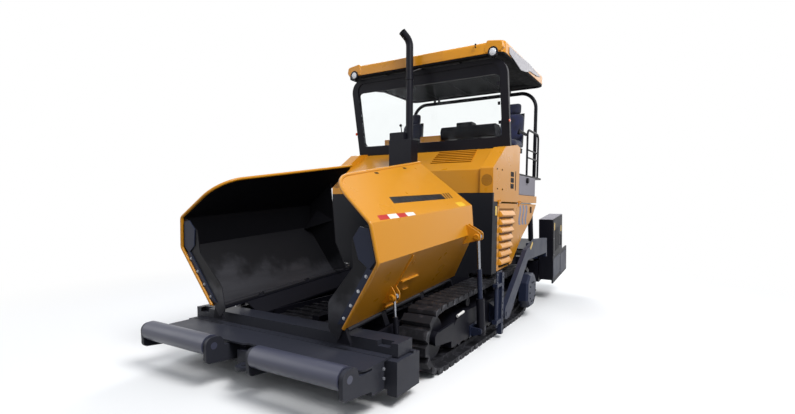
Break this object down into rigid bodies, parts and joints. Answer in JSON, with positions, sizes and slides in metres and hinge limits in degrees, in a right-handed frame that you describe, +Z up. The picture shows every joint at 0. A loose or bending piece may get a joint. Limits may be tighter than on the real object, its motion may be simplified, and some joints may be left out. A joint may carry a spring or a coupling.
{
  "type": "asphalt paver",
  "caption": "Tracked asphalt paver with folding hopper wings, push rollers, conveyors, augers, a canopy and a raised screed that widens.",
  "frame": {"origin": "on the ground under the middle of the overall box", "axes": "+Z up, -Y forward to the hopper, +X to the left of the machine"},
  "size_m": [3, 6.88, 4.1861],
  "materials": {
    "yellow_paint": "gloss yellow-orange enamel",
    "black_paint": "satin black paint",
    "grey_paint": "satin dark grey paint",
    "slate_paint": "satin slate-grey paint",
    "light_grey_paint": "satin light grey paint",
    "chrome_rod": "ground and hard-chromed",
    "track_steel": "bare and worn",
    "black_plastic": "grained",
    "seat_cloth": "navy cloth",
    "lamp_glass": "moulded lens",
    "clear_glass": "clear"
  },
  "bodies": {
    "machine": {"auger_carrier": "black_paint", "body_belt": "yellow_paint", "body_frame": "black_paint", "canopy_liner": "black_plastic", "canopy_roof": "yellow_paint", "console": "black_plastic", "conveyors": "track_steel", "deck_cabinet": "yellow_paint", "drive_covers": "slate_paint", "engine_block": "black_paint", "exhaust": "black_paint", "front_beam": "slate_paint", "front_frame": "black_paint", "front_hood": "yellow_paint", "hopper_floor": "black_paint", "main_frame": "black_paint", "platform_deck": "black_paint", "push_beam": "slate_paint", "radiator_housing": "grey_paint", "rear_rails": "black_paint", "roof_lamps": "lamp_glass", "seat_left": "seat_cloth", "seat_right": "seat_cloth", "side_boxes": "light_grey_paint", "side_brackets": "slate_paint", "track_frame_left": "black_paint", "track_frame_right": "black_paint", "track_left": "track_steel", "track_right": "track_steel", "windscreen": "clear_glass"},
    "push_roller_left": {"push_roller_left": "slate_paint"},
    "hopper_wing_left": {"hopper_wing_left": "yellow_paint", "wing_liner_left": "black_paint"},
    "rear_ram_barrel_left": {"rear_ram_barrel_left": "black_paint"},
    "rear_ram_sleeve_left": {"rear_ram_sleeve_left": "slate_paint"},
    "rear_ram_rod_left": {"rear_ram_rod_left": "chrome_rod"},
    "front_ram_barrel_left": {"front_ram_barrel_left": "black_paint"},
    "front_ram_rod_left": {"front_ram_rod_left": "chrome_rod"},
    "side_door_left": {"side_door_left": "yellow_paint"},
    "screed_extension_left": {"screed_extension_left": "black_paint"},
    "lift_ram_barrel_left": {"lift_ram_barrel_left": "black_paint"},
    "lift_ram_rod_left": {"lift_ram_rod_left": "chrome_rod"},
    "auger_left": {"auger_left": "track_steel"},
    "push_roller_right": {"push_roller_right": "slate_paint"},
    "hopper_wing_right": {"hopper_wing_right": "yellow_paint", "wing_liner_right": "black_paint"},
    "rear_ram_barrel_right": {"rear_ram_barrel_right": "black_paint"},
    "rear_ram_sleeve_right": {"rear_ram_sleeve_right": "slate_paint"},
    "rear_ram_rod_right": {"rear_ram_rod_right": "chrome_rod"},
    "front_ram_barrel_right": {"front_ram_barrel_right": "black_paint"},
    "front_ram_rod_right": {"front_ram_rod_right": "chrome_rod"},
    "side_door_right": {"side_door_right": "yellow_paint"},
    "screed_extension_right": {"screed_extension_right": "black_paint"},
    "lift_ram_barrel_right": {"lift_ram_barrel_right": "black_paint"},
    "lift_ram_rod_right": {"lift_ram_rod_right": "chrome_rod"},
    "auger_right": {"auger_right": "track_steel"},
    "screed": {"tow_arms": "slate_paint", "screed_body": "black_paint"}
  },
  "joints": [
    {"name": "push_roller_spin_left", "type": "hinge", "parent": "machine", "child": "push_roller_left", "pos_m": [0.828, -3.345, 0.413], "axis": [1, 0, 0], "continuous": true},
    {"name": "wing_fold_left", "type": "hinge", "parent": "machine", "child": "hopper_wing_left", "pos_m": [0.87, -2.925, 0.6], "axis": [0, 0.9969, 0.0785], "range_deg": [0, 35]},
    {"name": "rear_ram_swing_left", "type": "hinge", "parent": "machine", "child": "rear_ram_barrel_left", "pos_m": [1.42, -1.10827, 0.25], "axis": [0, 0.9969, 0.0785], "range_deg": [0, 20.18]},
    {"name": "rear_sleeve_slide_left", "type": "slide", "parent": "rear_ram_barrel_left", "child": "rear_ram_sleeve_left", "axis": [-0.0181, -0.0784, 0.9968], "range_m": [-0.18594, 0]},
    {"name": "rear_rod_slide_left", "type": "slide", "parent": "rear_ram_sleeve_left", "child": "rear_ram_rod_left", "axis": [-0.0181, -0.0784, 0.9968], "range_m": [-0.18594, 0]},
    {"name": "front_ram_swing_left", "type": "hinge", "parent": "machine", "child": "front_ram_barrel_left", "pos_m": [1.085, -2.391, 0.35], "axis": [0, 0.9969, 0.0785], "range_deg": [0, 14.03]},
    {"name": "front_rod_slide_left", "type": "slide", "parent": "front_ram_barrel_left", "child": "front_ram_rod_left", "axis": [-0.006, -0.0785, 0.9969], "range_m": [-0.14885, 0]},
    {"name": "side_door_lift_left", "type": "hinge", "parent": "machine", "child": "side_door_left", "pos_m": [1.33, 0, 1.75], "axis": [0, -1, 0], "range_deg": [0, 75]},
    {"name": "extension_slide_left", "type": "slide", "parent": "screed", "child": "screed_extension_left", "axis": [1, 0, 0], "range_m": [0, 1.1]},
    {"name": "auger_spin_left", "type": "hinge", "parent": "machine", "child": "auger_left", "pos_m": [0.657, 1.745, 0.43], "axis": [1, 0, 0], "continuous": true},
    {"name": "push_roller_spin_right", "type": "hinge", "parent": "machine", "child": "push_roller_right", "pos_m": [-0.828, -3.345, 0.413], "axis": [1, 0, 0], "continuous": true},
    {"name": "wing_fold_right", "type": "hinge", "parent": "machine", "child": "hopper_wing_right", "pos_m": [-0.87, -2.925, 0.6], "axis": [0, -0.9969, -0.0785], "range_deg": [0, 35]},
    {"name": "rear_ram_swing_right", "type": "hinge", "parent": "machine", "child": "rear_ram_barrel_right", "pos_m": [-1.42, -1.10827, 0.25], "axis": [0, -0.9969, -0.0785], "range_deg": [0, 20.18]},
    {"name": "rear_sleeve_slide_right", "type": "slide", "parent": "rear_ram_barrel_right", "child": "rear_ram_sleeve_right", "axis": [0.0181, -0.0784, 0.9968], "range_m": [-0.18594, 0]},
    {"name": "rear_rod_slide_right", "type": "slide", "parent": "rear_ram_sleeve_right", "child": "rear_ram_rod_right", "axis": [0.0181, -0.0784, 0.9968], "range_m": [-0.18594, 0]},
    {"name": "front_ram_swing_right", "type": "hinge", "parent": "machine", "child": "front_ram_barrel_right", "pos_m": [-1.085, -2.391, 0.35], "axis": [0, -0.9969, -0.0785], "range_deg": [0, 14.03]},
    {"name": "front_rod_slide_right", "type": "slide", "parent": "front_ram_barrel_right", "child": "front_ram_rod_right", "axis": [0.006, -0.0785, 0.9969], "range_m": [-0.14885, 0]},
    {"name": "side_door_lift_right", "type": "hinge", "parent": "machine", "child": "side_door_right", "pos_m": [-1.33, 0, 1.75], "axis": [0, 1, 0], "range_deg": [0, 75]},
    {"name": "extension_slide_right", "type": "slide", "parent": "screed", "child": "screed_extension_right", "axis": [-1, 0, 0], "range_m": [0, 1.1]},
    {"name": "auger_spin_right", "type": "hinge", "parent": "machine", "child": "auger_right", "pos_m": [-0.657, 1.745, 0.43], "axis": [1, 0, 0], "continuous": true},
    {"name": "screed_lower", "type": "hinge", "parent": "machine", "child": "screed", "pos_m": [0, -0.345, 0.285], "axis": [-1, 0, 0], "range_deg": [0, 7.2]},
    {"name": "lift_ram_swing_left", "type": "hinge", "parent": "machine", "child": "lift_ram_barrel_left", "pos_m": [1.1675, 1.64, 1.7], "axis": [-1, 0, 0], "range_deg": [-1.75, 0]},
    {"name": "lift_rod_slide_left", "type": "slide", "parent": "lift_ram_barrel_left", "child": "lift_ram_rod_left", "axis": [0, 0.1897, -0.9818], "range_m": [0, 0.28399]},
    {"name": "lift_ram_swing_right", "type": "hinge", "parent": "machine", "child": "lift_ram_barrel_right", "pos_m": [-1.1675, 1.64, 1.7], "axis": [-1, 0, 0], "range_deg": [-1.75, 0]},
    {"name": "lift_rod_slide_right", "type": "slide", "parent": "lift_ram_barrel_right", "child": "lift_ram_rod_right", "axis": [0, 0.1897, -0.9818], "range_m": [0, 0.28399]}
  ],
  "couplings": [
    {"joint": "rear_ram_swing_left", "follows": "wing_fold_left", "ratio": 0.56226},
    {"joint": "rear_sleeve_slide_left", "follows": "wing_fold_left", "m_per_rad": -0.29948},
    {"joint": "rear_rod_slide_left", "follows": "wing_fold_left", "m_per_rad": -0.29948},
    {"joint": "front_ram_swing_left", "follows": "wing_fold_left", "ratio": 0.38662},
    {"joint": "front_rod_slide_left", "follows": "wing_fold_left", "m_per_rad": -0.23875},
    {"joint": "rear_ram_swing_right", "follows": "wing_fold_right", "ratio": 0.56226},
    {"joint": "rear_sleeve_slide_right", "follows": "wing_fold_right", "m_per_rad": -0.29948},
    {"joint": "rear_rod_slide_right", "follows": "wing_fold_right", "m_per_rad": -0.29948},
    {"joint": "front_ram_swing_right", "follows": "wing_fold_right", "ratio": 0.38662},
    {"joint": "front_rod_slide_right", "follows": "wing_fold_right", "m_per_rad": -0.23875},
    {"joint": "lift_ram_swing_left", "follows": "screed_lower", "ratio": -0.17338},
    {"joint": "lift_rod_slide_left", "follows": "screed_lower", "m_per_rad": 2.2281},
    {"joint": "lift_ram_swing_right", "follows": "screed_lower", "ratio": -0.17338},
    {"joint": "lift_rod_slide_right", "follows": "screed_lower", "m_per_rad": 2.2281}
  ]
}
